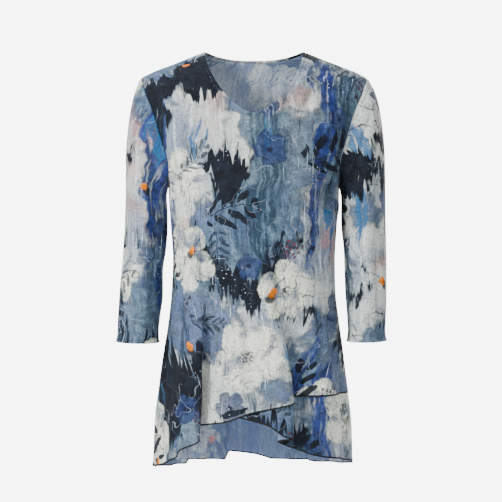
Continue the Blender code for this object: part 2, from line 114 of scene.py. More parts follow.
SEAM_GAP = 0.0003
SOLID_CLOTH = 0.0010
LAYER_GAP = 0.0007
LAYER_GAP_AT_SEAM = 0.0004
KNIT = 0.0007
NEARLY = 1e-4

NECK_HALF = 0.093
FRONT_DROP = 0.120
BINDING_WIDTH = 0.006
FRONT_NECK_POWERS = (1.5, 0.60)

SHOULDER_TIP = -0.050
ARMPIT = -0.252
HEM_STARTS_TO_SLANT = -0.600
LOWEST_HEM = -0.800

# Height, half width, depth in front, depth behind, and power of the section's oval
BODY = (
    (0.000, 0.0930, 0.056, 0.060, 1.80),
    (-0.008, 0.1135, 0.062, 0.066, 1.80),
    (-0.018, 0.1380, 0.068, 0.073, 1.82),
    (-0.030, 0.1695, 0.076, 0.081, 1.88),
    (-0.040, 0.1940, 0.081, 0.087, 1.94),
    (SHOULDER_TIP, 0.2128, 0.086, 0.092, 2.00),
    (-0.058, 0.2190, 0.089, 0.095, 2.04),
    (-0.078, 0.2205, 0.097, 0.102, 2.10),
    (-0.104, 0.2130, 0.103, 0.107, 2.16),
    (-0.135, 0.2020, 0.110, 0.111, 2.20),
    (-0.187, 0.1820, 0.118, 0.112, 2.20),
    (-0.220, 0.1695, 0.121, 0.111, 2.20),
    (ARMPIT, 0.1615, 0.123, 0.109, 2.20),
    (-0.286, 0.1605, 0.122, 0.106, 2.20),
    (-0.330, 0.1570, 0.119, 0.103, 2.20),
    (-0.395, 0.1532, 0.116, 0.101, 2.20),
    (-0.450, 0.1543, 0.116, 0.103, 2.20),
    (-0.504, 0.1600, 0.118, 0.108, 2.20),
    (-0.560, 0.1678, 0.122, 0.115, 2.20),
    (-0.633, 0.1775, 0.128, 0.124, 2.20),
    (-0.707, 0.1860, 0.134, 0.132, 2.20),
    (LOWEST_HEM, 0.1885, 0.140, 0.141, 2.20),
)

# Height, and how far the armhole seam lies in front of the shoulder and behind it
ARMHOLE = (
    (SHOULDER_TIP, 0.000, 0.000),
    (-0.0525, 0.014, 0.014),
    (-0.058, 0.025, 0.026),
    (-0.078, 0.040, 0.042),
    (-0.104, 0.049, 0.052),
    (-0.135, 0.054, 0.057),
    (-0.187, 0.054, 0.057),
    (-0.220, 0.045, 0.047),
    (-0.240, 0.027, 0.028),
    (-0.249, 0.011, 0.011),
    (ARMPIT, 0.000, 0.000),
)

# Place round the panel, height where the fold starts, where it is full, width, turn and depth
FOLD_TURN_LAG = 2.0
FOLD_DEPTH_LEAD = 0.7
FOLD_MIDDLE_SLOPE = 0.4
FOLDS_FADE_AT_SEAM = 0.05
FRONT_FOLDS = (
    (0.095, -0.36, -0.76, 0.024, 0.000, 0.005),
    (0.240, -0.60, -0.76, 0.016, 0.010, 0.009),
    (0.312, -0.30, -0.64, 0.024, 0.029, 0.017),
    (0.470, -0.44, -0.72, 0.030, 0.000, 0.006),
    (0.594, -0.38, -0.62, 0.024, 0.029, 0.017),
    (0.830, -0.42, -0.68, 0.026, 0.004, 0.006),
)
FRONT_HEM = (
    (0.00, -0.786), (0.12, -0.775), (0.216, -0.757), (0.256, -0.737), (0.30, -0.717),
    (0.37, -0.694), (0.43, -0.684), (0.51, -0.665), (0.57, -0.651), (0.655, -0.641),
    (0.80, -0.641), (1.00, -0.643),
)

# Soft creases, given one by one. Each runs from one spot to another, given by its distance round
# the cloth from the centre and its height, with its width, its rise and its bow sideways.
FRONT_CREASES = (
    (-0.205, -0.225, -0.105, -0.188, 0.0080, -0.0030, 0.008),
    (-0.200, -0.246, -0.118, -0.262, 0.0070, -0.0026, -0.006),
    (-0.197, -0.262, -0.140, -0.338, 0.0075, 0.0024, 0.007),
    (-0.150, -0.060, -0.080, -0.150, 0.0120, -0.0022, -0.010),
    (-0.115, -0.040, -0.068, -0.105, 0.0085, 0.0016, -0.006),
    (-0.176, -0.118, -0.128, -0.190, 0.0110, 0.0022, 0.006),
    (0.207, -0.222, 0.112, -0.195, 0.0080, -0.0032, -0.008),
    (0.201, -0.248, 0.126, -0.276, 0.0065, -0.0024, 0.006),
    (0.196, -0.266, 0.150, -0.352, 0.0080, 0.0026, -0.006),
    (0.142, -0.056, 0.083, -0.158, 0.0110, -0.0024, 0.010),
    (0.104, -0.036, 0.066, -0.112, 0.0080, 0.0015, 0.005),
    (0.172, -0.112, 0.136, -0.200, 0.0120, 0.0020, -0.007),
    (0.036, -0.325, 0.043, -0.520, 0.0095, -0.0034, 0.003),
    (0.058, -0.300, 0.066, -0.470, 0.0120, 0.0022, -0.003),
    (-0.137, -0.285, -0.131, -0.585, 0.0055, -0.0026, 0.004),
    (-0.124, -0.300, -0.120, -0.540, 0.0070, 0.0022, 0.003),
    (-0.158, -0.330, -0.166, -0.640, 0.0085, 0.0030, -0.006),
    (-0.186, -0.400, -0.200, -0.745, 0.0080, -0.0026, 0.004),
    (-0.182, -0.352, -0.124, -0.392, 0.0080, -0.0020, 0.005),
    (0.184, -0.366, 0.120, -0.404, 0.0075, -0.0022, -0.006),
    (0.178, -0.410, 0.108, -0.432, 0.0065, -0.0016, 0.005),
    (-0.028, -0.395, -0.022, -0.655, 0.0090, 0.0028, -0.004),
    (-0.008, -0.430, -0.004, -0.668, 0.0080, -0.0024, 0.003),
    (0.100, -0.450, 0.112, -0.640, 0.0090, 0.0026, 0.005),
    (0.132, -0.400, 0.150, -0.640, 0.0085, -0.0028, -0.004),
    (0.168, -0.440, 0.186, -0.640, 0.0070, 0.0022, 0.003),
    (-0.088, -0.200, -0.064, -0.290, 0.0140, 0.0016, 0.006),
    (0.092, -0.206, 0.060, -0.286, 0.0140, 0.0017, -0.006),
    (-0.050, -0.135, -0.020, -0.175, 0.0090, -0.0012, -0.004),
    (0.046, -0.132, 0.016, -0.176, 0.0085, -0.0013, 0.004),
)


def curve_through(places, values):
    """A smooth function through the values that never overshoots them."""
    places, values = np.array(places, float), np.array(values, float)
    steps = np.diff(places)
    slopes = np.diff(values) / steps
    left, right = slopes[:-1], slopes[1:]
    same_way = left * right > 0
    total = np.where(same_way, left + right, 1)
    bends = np.concatenate([slopes[:1], np.where(same_way, 2 * left * right / total, 0), slopes[-1:]])

    def at(place):
        place = np.clip(place, places[0], places[-1])
        k = np.clip(np.searchsorted(places, place, side="right") - 1, 0, len(steps) - 1)
        h = steps[k]
        t = (place - places[k]) / h
        return (
            values[k] * (1 + 2 * t) * (1 - t) ** 2
            + values[k + 1] * t * t * (3 - 2 * t)
            + h * bends[k] * t * (1 - t) ** 2
            - h * bends[k + 1] * t * t * (1 - t)
        )

    return at


def curves_of(rows):
    """One smooth function for each later column of a table, read against its first."""
    key, *columns = zip(*sorted(rows))
    return [curve_through(key, column) for column in columns]


def smooth(x):
    """0 below 0, 1 above 1, and an easy rise between."""
    x = np.clip(x, 0, 1)
    return x * x * (3 - 2 * x)


def unit(vectors):
    return vectors / np.maximum(np.linalg.norm(vectors, axis=-1, keepdims=True), 1e-12)


half_width, front_deep, back_deep, oval = curves_of(BODY)
front_cut, back_cut = curves_of(ARMHOLE)


def creased(across, down, creases):
    """How far the cloth stands off its plain form along the creases."""
    rise = np.zeros_like(across)
    for from_across, from_down, to_across, to_down, width, height, bow in creases:
        run_across, run_down = to_across - from_across, to_down - from_down
        length = math.hypot(run_across, run_down)
        t = ((across - from_across) * run_across + (down - from_down) * run_down) / length**2
        off = ((across - from_across) * run_down - (down - from_down) * run_across) / length
        inside = np.clip(t, 0, 1)
        off = off - bow * 4 * inside * (1 - inside)
        wide = width * (0.7 + 0.6 * inside)
        rise += height * smooth(t / 0.35) * smooth((1 - t) / 0.45) * np.exp(-((off / wide) ** 2))
    return rise


def rippled(across, down, seed, height):
    """The slight unevenness of a worn knit: long soft waves, mostly down the cloth."""
    draw = np.random.default_rng(seed)
    rise = np.zeros_like(across)
    for _ in range(14):
        wide, long = draw.uniform(0.022, 0.085), draw.uniform(0.14, 0.60)
        lean = draw.choice((-1, 1))
        rise += np.sin(2 * np.pi * (across / wide + lean * down / long + draw.uniform()))
    return rise * height / math.sqrt(14)


def sewn_in(distance):
    """Cloth dips into a seam and stands a little over the turned edges beside it."""
    groove = -0.0006 * np.exp(-((distance / 0.0018) ** 2))
    return groove + 0.0005 * np.exp(-(((distance - 0.0065) / 0.0035) ** 2))


class BodySide:
    """The outer surface of the front (side -1) or the back (side +1) of the body."""

    def __init__(self, side, deep, cut, folds, creases, seed):
        self.side = side
        self.deep = deep
        self.cut = cut
        self.folds = folds
        self.creases = creases
        self.seed = seed

    def ring_point(self, place, height):
        in_armhole = (height > ARMPIT) & (height < SHOULDER_TIP)
        share = np.where(in_armhole, self.cut(height) / self.deep(height), 0)
        start = np.arcsin(share ** (oval(height) / 2))
        angle = start + place * (np.pi - 2 * start)
        power = 2 / oval(height)
        across, deep = np.cos(angle), np.maximum(np.sin(angle), 0)
        x = -half_width(height) * np.sign(across) * np.abs(across) ** power
        y = self.side * (self.deep(height) * deep**power + SEAM_GAP / 2)
        return np.stack([x, y, height + 0 * x], -1)

    def length_round(self, height):
        return np.pi * np.sqrt((half_width(height) ** 2 + self.deep(height) ** 2) / 2)

    def folded(self, place, height):
        """The surface with its hanging folds."""
        spot = self.ring_point(place, height)
        before = self.ring_point(np.maximum(place - NEARLY, 0), height)
        along = unit(self.ring_point(np.minimum(place + NEARLY, 1), height) - before)
        out = np.cross(along, (0, 0, 1)) * -self.side
        at_edge = smooth(np.minimum(place, 1 - place) / FOLDS_FADE_AT_SEAM)
        for middle, start, full, width, turn, depth in self.folds:
            grown = smooth((start - height) / (start - full)) * at_edge
            q = (place - middle) * self.length_round(height) / width
            turned = turn * grown**FOLD_TURN_LAG * q * np.exp(0.5 - q * q) * math.sqrt(2)
            slope = FOLD_MIDDLE_SLOPE * q + (1 - FOLD_MIDDLE_SLOPE) * q**3
            sunk = depth * grown**FOLD_DEPTH_LEAD * slope * np.exp(1 - q * q)
            spot = spot - along * turned[..., None] - out * sunk[..., None]
        return spot

    def normal(self, place, height):
        """Outwards. On the side and shoulder seams it lies in the seam's own plane."""
        left, right = np.maximum(place - NEARLY, 0), np.minimum(place + NEARLY, 1)
        along = self.folded(right, height) - self.folded(left, height)
        down = self.folded(place, height - NEARLY) - self.folded(place, height + NEARLY)
        out = np.cross(along, down) * self.side
        on_seam = ((place == 0) | (place == 1)) & ~((height > ARMPIT) & (height < SHOULDER_TIP))
        out[..., 1] = np.where(on_seam, 0, out[..., 1])
        return unit(out)

    def relief(self, place, height, neck):
        """Creases, ripples and seams, as a height off the folded surface."""
        across = (place - 0.5) * self.length_round(height)
        from_seam = np.minimum(place, 1 - place) * self.length_round(height)
        rise = 1.7 * creased(across, height, self.creases) + rippled(across, height, self.seed, 0.0009)
        rise *= smooth(from_seam / 0.02) * smooth((neck - height) / 0.03)
        return rise + sewn_in(from_seam)


def flutter(across, from_hem, height):
    """The slight outward wave of a hem that its overlocking has stretched."""
    wave = 0.5 + 0.5 * np.sin(2 * np.pi * across / 0.036 + 1.7 * np.sin(across * 31))
    return height * wave * np.exp(-np.maximum(from_hem, 0) / 0.020)


front_side = BodySide(-1, front_deep, front_cut, FRONT_FOLDS, FRONT_CREASES, 5)
front_hem = curve_through(*zip(*FRONT_HEM))


def neck_heights(surface, half_at, drop, place, margin):
    """Where each column of a panel meets the neckline."""
    high, low = np.zeros_like(place), np.full_like(place, -(drop + margin))
    for _ in range(40):
        middle = (high + low) / 2
        beside = np.abs(surface.ring_point(place, middle)[..., 0]) < half_at(middle, margin)
        high, low = np.where(beside, middle, high), np.where(beside, low, middle)
    return (high + low) / 2


def front_neck_half(height, margin):
    fall, swell = FRONT_NECK_POWERS
    share = np.clip(-height / (FRONT_DROP + margin), 0, 1)
    return (NECK_HALF + margin) * (1 - share**fall) ** swell


def front_neck(place, margin=BINDING_WIDTH):
    return neck_heights(front_side, front_neck_half, FRONT_DROP, place, margin)


def close_where(count, spots):
    """Places from 0 to 1, closer together round each spot of (place, reach, how much)."""
    fine = np.linspace(0, 1, 4001)
    weight = np.ones_like(fine)
    for middle, reach, much in spots:
        weight += much * np.exp(-(((fine - middle) / reach) ** 4))
    gone = np.concatenate([[0], np.cumsum((weight[1:] + weight[:-1]) / 2)])
    return np.interp(np.linspace(0, gone[-1], count), gone, fine)


PANEL_TOP = float(front_neck(np.array([0.0]))[0])


def body_levels(shoulder_rows, armhole_rows, side_rows):
    """Heights down the side of a body panel: shoulder seam, armhole, side seam."""
    middle, half = (SHOULDER_TIP + ARMPIT) / 2, (SHOULDER_TIP - ARMPIT) / 2
    return np.concatenate([
        np.linspace(PANEL_TOP, SHOULDER_TIP, shoulder_rows, endpoint=False),
        middle + half * np.cos(np.linspace(0, np.pi, armhole_rows)),
        np.linspace(ARMPIT, LOWEST_HEM, side_rows)[1:],
    ])


def height_at(level, neck, hem):
    """A column's own height at a level: from its neckline above, to its hem below."""
    above = level + (neck - PANEL_TOP) * (level - ARMPIT) / (PANEL_TOP - ARMPIT)
    share = (level - HEM_STARTS_TO_SLANT) / (LOWEST_HEM - HEM_STARTS_TO_SLANT)
    below = HEM_STARTS_TO_SLANT + (hem - HEM_STARTS_TO_SLANT) * share
    return np.where(level > ARMPIT, above, np.where(level > HEM_STARTS_TO_SLANT, level, below))


def laid_flat(spots, row, column):
    """Each spot's place on the cloth laid flat, in metres from one row and column."""
    down = np.zeros(spots.shape[:2])
    down[1:] = np.cumsum(np.linalg.norm(np.diff(spots, axis=0), axis=2), axis=0)
    down = down[row:row + 1] - down
    step, slide = np.linalg.norm(np.diff(spots, axis=1), axis=2), np.diff(down, axis=1)
    across = np.zeros(spots.shape[:2])
    across[:, 1:] = np.cumsum(np.sqrt(np.maximum(step**2 - slide**2, (0.35 * step) ** 2)), axis=1)
    return np.stack([across - across[:, column:column + 1], down], -1)


def lay_cloth(name, spots, outward, flat, finishes, thickness=0.0, closed=False):
    """Lays a grid of cloth on the spots, rows down and columns across, and gives it a wall."""
    rows, columns = spots.shape[:2]
    mesh = bmesh.new()
    bmesh.ops.create_grid(mesh, x_segments=columns - 1, y_segments=rows - 1, size=0.5)
    data = bpy.data.meshes.new(name)
    mesh.to_mesh(data)
    mesh.free()
    at = np.zeros(len(data.vertices) * 3, np.float32)
    data.vertices.foreach_get("co", at)
    at = at.reshape(-1, 3) + 0.5
    column, row = np.rint(at[:, 0] * (columns - 1)).astype(int), np.rint(at[:, 1] * (rows - 1)).astype(int)
    data.vertices.foreach_set("co", spots[row, column].astype(np.float32).ravel())
    corner = np.zeros(len(data.loops), np.int32)
    data.loops.foreach_get("vertex_index", corner)
    cloth_map = data.uv_layers.new(name="cloth")
    cloth_map.uv.foreach_set("vector", flat[row, column][corner].astype(np.float32).ravel())
    data.update()
    face = data.polygons[len(data.polygons) // 2]
    corner_of_face = face.vertices[0]
    if face.normal.dot(Vector(outward[row[corner_of_face], column[corner_of_face]])) < 0:
        data.flip_normals()
    if closed:
        mesh = bmesh.new()
        mesh.from_mesh(data)
        bmesh.ops.remove_doubles(mesh, verts=mesh.verts[:], dist=1e-6)
        bmesh.ops.holes_fill(mesh, edges=[edge for edge in mesh.edges if edge.is_boundary and closed == "ends"])
        mesh.to_mesh(data)
        mesh.free()
    data.shade_smooth()
    for finish in finishes:
        data.materials.append(finish)
    piece = bpy.data.objects.new(name, data)
    scene.collection.objects.link(piece)
    if thickness:
        wall = piece.modifiers.new("wall", "SOLIDIFY")
        wall.thickness = thickness
        wall.offset = -1
        wall.material_offset = len(finishes) - 1
        wall.use_quality_normals = True
    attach(piece, "root")
    return piece


class Wire:
    """A shader socket to reckon with: each operator adds its Math node."""

    def __init__(self, tree, socket=None):
        self.tree = tree
        self.socket = socket

    def node(self, kind, settings=(), sockets=(), output=0):
        """Any node, with its settings first and then the values or links of its sockets."""
        made = self.tree.nodes.new("ShaderNode" + kind)
        for name, value in dict(settings).items():
            setattr(made, name, value)
        for name, value in dict(sockets).items():
            if isinstance(value, Wire):
                self.tree.links.new(value.socket, made.inputs[name])
            else:
                made.inputs[name].default_value = value
        return Wire(self.tree, made.outputs[output])

    def also(self, output):
        """Another output of the same node."""
        return Wire(self.tree, self.socket.node.outputs[output])

    def reckon(self, operation, *others):
        return self.node("Math", {"operation": operation}, dict(enumerate((self, *others))))

    def __add__(self, other):
        return self.reckon("ADD", other)

    def __sub__(self, other):
        return self.reckon("SUBTRACT", other)

    def __mul__(self, other):
        return self.reckon("MULTIPLY", other)

    def __truediv__(self, other):
        return self.reckon("DIVIDE", other)

    def __rsub__(self, other):
        return self.reckon("MULTIPLY_ADD", -1, other)

    def __abs__(self):
        return self.reckon("ABSOLUTE")

    __radd__ = __add__
    __rmul__ = __mul__

    def either(self, other):
        return self.reckon("MAXIMUM", other)

    def ease(self, low, high):
        """0 up to low and 1 from high on, or the other way round."""
        return self.node("MapRange", {"interpolation_type": "SMOOTHSTEP"}, {0: self, 1: low, 2: high})

    def over(self, under, colour):
        """The colour painted over another, as thickly as this says."""
        return self.node("Mix", {"data_type": "RGBA"}, {0: self, 6: under, 7: colour}, 2)

    def vector(self, operation, other):
        return self.node("VectorMath", {"operation": operation}, {0: self, 1: other})

    def noise(self, scale, detail=2.0, rough=0.5):
        return self.node("TexNoise", {}, {"Vector": self, "Scale": scale, "Detail": detail, "Roughness": rough})

    def strewn(self, spacing, shift, lean=math.pi):
        """Spots strewn over the cloth: the way from each spot, turned, and its own draws."""
        moved = self.vector("ADD", shift)
        spot = moved.node("TexVoronoi", {"voronoi_dimensions": "2D"}, {"Vector": moved, "Scale": 1 / spacing, "Randomness": 0.8})
        draws = spot.node("SeparateXYZ", {}, {0: spot.also("Color")})
        away = moved.vector("SUBTRACT", spot.also("Position"))
        turned = away.node("VectorRotate", {"rotation_type": "Z_AXIS"}, {"Vector": away, "Angle": (draws - 0.5) * (2 * lean)})
        x = turned.node("SeparateXYZ", {}, {0: turned})
        return x, x.also(1), draws.also(1), draws.also(2)


def blossoms(at, spacing, reach, petals, shift, often):
    """Open flowers: how far a spot lies inside one, at its rim, in its heart or in a crease."""
    x, y, size, draw = at.strewn(spacing, shift)
    angle = y.reckon("ARCTAN2", x)
    away = (x * x + y * y).reckon("SQRT") / (reach * (0.7 + 0.5 * size))
    lobe = abs((angle * (petals / 2) + away).reckon("COSINE")).reckon("POWER", 0.6)
    edge = 0.66 + 0.34 * lobe
    petal = (away - edge).ease(0.04, -0.05) * draw.reckon("LESS_THAN", often)
    rim = (away - edge).ease(-0.20, -0.02) * petal
    heart = away.ease(0.22, 0.10) * petal
    crease = (1 - lobe).ease(0.62, 0.96) * away.ease(0.16, 0.4) * petal
    vein = abs((angle * (petals * 2.5) + away * 5).reckon("SINE")).ease(0.22, 0.0) * away.ease(0.85, 0.35) * petal
    return petal, rim, heart, crease.either(vein * 0.6)


def twigs(at, spacing, length, leaf, pitch, shift, often):
    """A bent stem with paired leaves, pointed, that shorten towards its tip."""
    x, y, size, draw = at.strewn(spacing, shift)
    bent = y - (size - 0.5) * (0.7 / length) * x * x
    along = x / (length * (0.75 + 0.4 * size))
    on_stem = abs(along).ease(1.0, 0.94)
    side = abs(bent)
    stem = side.ease(0.0011, 0.0005) * on_stem
    reach = leaf * (1 - along * along * 0.6)
    across = (((x - side * 0.9) / pitch + bent.reckon("SIGN") * 0.18).reckon("FRACT") - 0.5) / 0.34
    out = (side - reach * 0.55) / (reach * 0.5)
    blade = abs(across) + out * out * (0.7 + 0.3 * abs(out))
    return blade.ease(1.0, 0.86).either(stem) * on_stem * draw.reckon("LESS_THAN", often)


def printed(at):
    """A generic watercolour garden: washes, drips, open blossoms, leafy twigs, berries and hips."""
    wander = at.noise(9, 3, 0.6).also("Color").vector("SUBTRACT", (0.5, 0.5, 0.5))
    ragged = at.noise(90, 4, 0.65).also("Color").vector("SUBTRACT", (0.5, 0.5, 0.5))
    loose = at.vector("ADD", wander.vector("MULTIPLY", (0.09, 0.09, 0)))
    torn = at.vector("ADD", wander.vector("MULTIPLY", (0.035, 0.035, 0)))
    torn = torn.vector("ADD", ragged.vector("MULTIPLY", (0.009, 0.009, 0)))
    streaked = loose.vector("MULTIPLY", (1, 0.18, 1))
    bristle = torn.vector("MULTIPLY", (1, 0.09, 1)).noise(130, 3, 0.6)
    grain = torn.noise(48, 5, 0.7)
    speckle = at.noise(210, 3, 0.65)

    colour = loose.noise(4.2, 4, 0.6).ease(0.42, 0.60).over(paint(207, 209, 207), paint(167, 176, 188))
    colour = (loose.noise(11, 5, 0.65).ease(0.50, 0.68) * 0.65).over(colour, paint(124, 137, 156))
    blush = loose.vector("ADD", (2.2, 6.6, 0)).noise(6, 3, 0.6)
    colour = (blush.ease(0.56, 0.66) * 0.5).over(colour, paint(200, 164, 150))
    colour = (bristle.ease(0.50, 0.62) * 0.30).over(colour, paint(222, 225, 223))

    cool = loose.vector("ADD", (3.1, 0, 0)).noise(3.6, 5, 0.62)
    blues = loose.vector("ADD", (7.7, 1, 0)).noise(5, 2, 0.5).ease(0.42, 0.58)
    sky = grain.ease(0.34, 0.64).over(blues.over(paint(136, 166, 180), paint(112, 138, 178)), paint(78, 110, 138))
    colour = (cool.ease(0.485, 0.525) * 0.90).over(colour, sky)
    colour = (cool.ease(0.48, 0.50) * cool.ease(0.53, 0.51) * 0.45).over(colour, paint(56, 78, 104))
    teal = streaked.vector("ADD", (11.3, 2, 0)).noise(8, 4, 0.62)
    colour = (teal.ease(0.52, 0.60) * bristle.ease(0.36, 0.54) * 0.9).over(colour, paint(44, 80, 104))
    cobalt = streaked.vector("ADD", (5.4, 4, 0)).noise(8, 4, 0.65)
    blue = grain.ease(0.36, 0.62).over(paint(66, 96, 170), paint(30, 50, 118))
    colour = (cobalt.ease(0.555, 0.60) * bristle.ease(0.32, 0.48) * 0.95).over(colour, blue)
    azure = streaked.vector("ADD", (1.2, 9.4, 0)).noise(14, 3, 0.6)
    colour = (azure.ease(0.64, 0.665) * bristle.ease(0.36, 0.50) * 0.9).over(colour, paint(52, 136, 178))

    drip = at.vector("MULTIPLY", (1, 0.03, 1)).noise(75, 2, 0.6) - 0.5
    fallen = loose.node("CombineXYZ", {}, {1: drip * 0.14}).vector("ADD", loose)
    navy = fallen.vector("ADD", (1.9, 8, 0)).noise(5.2, 4, 0.60)
    ink = grain.ease(0.36, 0.66).over(paint(16, 18, 25), paint(30, 42, 60))
    colour = (navy.ease(0.53, 0.555) * navy.ease(0.60, 0.57) * 0.55).over(colour, paint(60, 94, 116))
    colour = (navy.ease(0.548, 0.565) * bristle.ease(0.22, 0.34)).over(colour, ink)

    petal, rim, heart, crease = blossoms(torn, 0.185, 0.066, 5, (0.02, 0.05, 0), 0.62)
    shade = loose.noise(26, 4, 0.6)
    colour = (petal * (0.45 + 0.50 * bristle.ease(0.30, 0.55))).over(
        colour, shade.ease(0.44, 0.66).over(paint(219, 220, 215), paint(148, 158, 174)))
    colour = (rim * speckle.ease(0.44, 0.62) * 0.55).over(colour, paint(112, 118, 140))
    colour = (crease * speckle.ease(0.36, 0.58) * 0.8).over(colour, paint(62, 66, 82))
    colour = (heart * speckle.ease(0.42, 0.54) * 0.9).over(colour, paint(34, 36, 54))
    petal, rim, heart, crease = blossoms(torn, 0.150, 0.028, 5, (2.3, 1.1, 0), 0.30)
    colour = (petal * 0.8).over(colour, grain.ease(0.40, 0.62).over(paint(74, 102, 152), paint(34, 50, 108)))
    colour = (crease * 0.5 + heart * 0.9 + rim * 0.3).over(colour, paint(24, 28, 62))

    leaves = twigs(torn, 0.210, 0.066, 0.040, 0.029, (4.1, 0.7, 0), 0.50)
    colour = (leaves * bristle.ease(0.20, 0.32) * 0.97).over(colour, ink)
    leaves = twigs(torn, 0.150, 0.036, 0.020, 0.0150, (6.6, 2.9, 0), 0.40)
    colour = (leaves * 0.85).over(colour, cobalt.ease(0.45, 0.55).over(paint(62, 78, 88), paint(34, 46, 86)))

    x, y, size, draw = torn.strewn(0.190, (8.8, 3.3, 0), 0.5)
    up = y + 0.034
    from_root = (x * x + up * up).reckon("SQRT")
    fan = x.reckon("ARCTAN2", up) * 6.5
    beside = (fan.reckon("FRACT") - 0.5) * from_root / 6.5
    sprig = from_root.ease(0.070, 0.066) * abs(fan).ease(2.0, 1.95) * draw.reckon("LESS_THAN", 0.55)
    step = ((from_root / 0.0125 + fan.reckon("FLOOR") * 0.37).reckon("FRACT") - 0.5) * 0.0125
    berry = (step * step + beside * beside).reckon("SQRT").ease(0.0034, 0.0025) * from_root.ease(0.030, 0.034)
    colour = (abs(beside).ease(0.0009, 0.0004) * sprig * 0.7).over(colour, paint(88, 70, 88))
    colour = (berry * sprig * 0.85).over(colour, size.over(paint(64, 46, 76), paint(140, 84, 98)))

    x, y, size, draw = torn.strewn(0.165, (5.5, 6.1, 0), 0.9)
    here = draw.reckon("LESS_THAN", 0.42)
    across, down = x / 0.0076, y / 0.0090
    colour = ((across * across + (down + 1.0) * (down + 1.0)).ease(1.5, 0.7) * here * 0.9).over(colour, paint(34, 40, 50))
    stalk = abs(x - y * y * 6).ease(0.0012, 0.0006) * y.ease(0.002, 0.006) * y.ease(0.040, 0.034) * here
    colour = (stalk * 0.85).over(colour, paint(40, 44, 54))
    glow = (speckle + down * 0.10).ease(0.40, 0.62).over(paint(186, 126, 8), paint(226, 182, 44))
    colour = ((across * across + down * down).ease(1.15, 0.70) * here).over(colour, glow)

    thin = at.vector("MULTIPLY", (1, 0.035, 1)).noise(300, 2, 0.5)
    patch = loose.vector("ADD", (9.2, 5, 0)).noise(8, 2, 0.5)
    colour = (thin.ease(0.66, 0.70) * patch.ease(0.50, 0.58) * 0.75).over(colour, paint(214, 218, 222))
    colour = (thin.ease(0.36, 0.32) * patch.ease(0.50, 0.42) * 0.8).over(colour, paint(28, 36, 72))
    dx, dy, dot_size, dot_draw = at.strewn(0.0085, (1.5, 2.5, 0))
    dot = ((dx * dx + dy * dy).reckon("SQRT") - dot_size * 0.0010).ease(0.0005, 0.0001)
    spatter = dot * dot_draw.reckon("LESS_THAN", 0.4) * patch.ease(0.55, 0.62)
    colour = (spatter * 0.8).over(colour, paint(206, 212, 218))
    scratch = abs(loose.noise(24, 1, 0.4) - 0.5)
    colour = (scratch.ease(0.005, 0.002) * cool.ease(0.50, 0.56) * 0.30).over(colour, paint(206, 210, 216))
    colour = (speckle.ease(0.51, 0.61) * 0.34).over(colour, paint(36, 44, 56))
    pen = abs(torn.noise(17, 1, 0.4) - 0.5).ease(0.0060, 0.0030) * blush.ease(0.52, 0.47)
    return (pen * cool.ease(0.50, 0.47) * 0.8).over(colour, paint(40, 40, 50))


def knit_finish(name, print_share_vs_pale_reverse_and_painted_light):
    """The printed knit: its print sunk into a heathered yarn, crinkled down the cloth."""
    finish = bpy.data.materials.new(name)
    finish.use_nodes = True
    tree = finish.node_tree
    shader = tree.nodes["Principled BSDF"]
    at = Wire(tree).node("UVMap", {"uv_map": "cloth"})
    colour = printed(at)
    # On the inner face the print is mixed with a pale blue-grey. This is partly the paler reverse of a printed knit and
    # partly painted light: the inside is made lighter to stand in for the light that passes through the thin knit and
    # in at the neck.
    if print_share_vs_pale_reverse_and_painted_light < 1:
        colour = at.node("Mix", {"data_type": "RGBA"}, {0: print_share_vs_pale_reverse_and_painted_light, 6: paint(184, 196, 212), 7: colour}, 2)
    crinkle = at.vector("MULTIPLY", (430, 38, 1)).noise(1, 3, 0.6)
    broad = at.vector("MULTIPLY", (120, 12, 1)).noise(1, 2, 0.5)
    yarn = at.vector("MULTIPLY", (1300, 900, 1)).noise(1, 1, 0.5)
    fleck = at.vector("MULTIPLY", (420, 260, 1)).noise(1, 2, 0.6)
    heather = (crinkle * 0.4 + yarn * 0.2 + fleck * 0.4).ease(0.38, 0.62)
    colour = ((1 - heather) * 0.30).over(colour, paint(46, 48, 58))
    tree.links.new(colour.socket, shader.inputs["Base Color"])
    tree.links.new((0.76 + (heather - 0.5) * 0.10).socket, shader.inputs["Roughness"])
    shader.inputs["Sheen Weight"].default_value = 0.03
    shader.inputs["Sheen Roughness"].default_value = 0.40
    shader.inputs["Specular IOR Level"].default_value = 0.10
    height = crinkle * 0.55 + broad * 0.9 + yarn * 0.14
    bump = at.node("Bump", {}, {"Strength": 0.85, "Distance": 0.0016, "Height": height})
    tree.links.new(bump.socket, shader.inputs["Normal"])
    return finish


knit_face = knit_finish("printed_knit_face", 1.0)
# The inner faces take the paler mix, lightened in part as painted light for the light that reaches inside the garment.
knit_back = knit_finish("printed_knit_back", 0.58)

front_places = close_where(200, [(0, 0.03, 2.5), (1, 0.03, 2.5), (0.312, 0.055, 1.6), (0.594, 0.055, 1.6), (0.240, 0.03, 0.6)])
levels = body_levels(24, 66, 146)
place, level = np.meshgrid(front_places, levels)
neck_at, hem_at = front_neck(front_places)[None], front_hem(front_places)[None]
height = height_at(level, neck_at, hem_at)
outward = front_side.normal(place, height)
rise = front_side.relief(place, height, neck_at)
rise += flutter((place - 0.5) * 0.6, height - hem_at, 0.0016) * smooth(np.minimum(place, 1 - place) / 0.06)
front_spots = front_side.folded(place, height) + outward * rise[..., None]
armpit_row = int(np.argmin(np.abs(levels - ARMPIT)))
front_flat = laid_flat(front_spots, armpit_row, 100)
front_piece = lay_cloth("front_panel", front_spots, outward, front_flat, [knit_face, knit_back], KNIT)
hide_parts("front")


# Overlocked hems
# Each hem is cut raw and wrapped by an overlocking machine in close black thread, about 2 mm
# deep, which stretches the edge a little. The same threads finish all three hems.

THREAD_PITCH = 0.0009
EDGING_REACH = 0.0015
EDGING_THICK = 0.0009


